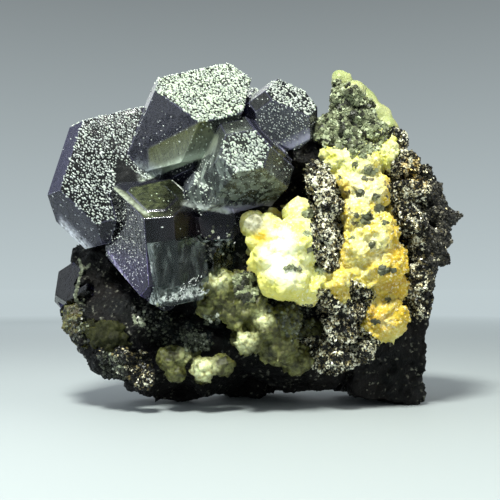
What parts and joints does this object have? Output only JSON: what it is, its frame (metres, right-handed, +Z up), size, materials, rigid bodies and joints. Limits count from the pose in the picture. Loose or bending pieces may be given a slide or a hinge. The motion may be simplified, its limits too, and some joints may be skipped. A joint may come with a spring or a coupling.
{
  "type": "fluorite and pyrite specimen",
  "caption": "Natural mineral hand specimen: violet-grey fluorite crystals with granular pyrite and yellow calcite on dark sulphide rock, resting on its base.",
  "frame": {"origin": "centre of the specimen's box, at the height of the surface it rests on", "axes": "+X to the specimen's right as shown, -Y to its front with the crystals, +Z up"},
  "size_m": [0.0726, 0.0424, 0.0578],
  "materials": {
    "rock": "dark rough sulphide rock with a faint glitter",
    "violet_fluorite": "see-through violet-grey crystal, frosted with pale pits on some faces",
    "clear_fluorite": "clear grey crystal with glassy faces",
    "indigo_fluorite": "very dark indigo crystal",
    "grey_pyrite": "fine grey-green grains",
    "pyrite": "glittering dark gold grains",
    "yellow_calcite": "waxy translucent yellow, paler to amber in places",
    "olive_calcite": "waxy translucent olive yellow"
  },
  "bodies": {
    "root": {"sulphide_rock": "rock", "fluorite_cluster": "violet_fluorite", "fluorite_clear_crystals": "clear_fluorite", "fluorite_side_crystal": "indigo_fluorite", "pyrite_top_patch": "grey_pyrite", "pyrite_inner_ridge": "pyrite", "pyrite_outer_ridge": "pyrite", "pyrite_lower_ridge": "pyrite", "pyrite_left_patch": "pyrite", "calcite_vein": "yellow_calcite", "calcite_cap": "yellow_calcite", "calcite_lower_knobs": "olive_calcite", "calcite_left_patch": "olive_calcite", "calcite_edge_patch": "olive_calcite", "calcite_spur": "olive_calcite", "calcite_nub": "olive_calcite"}
  },
  "joints": []
}
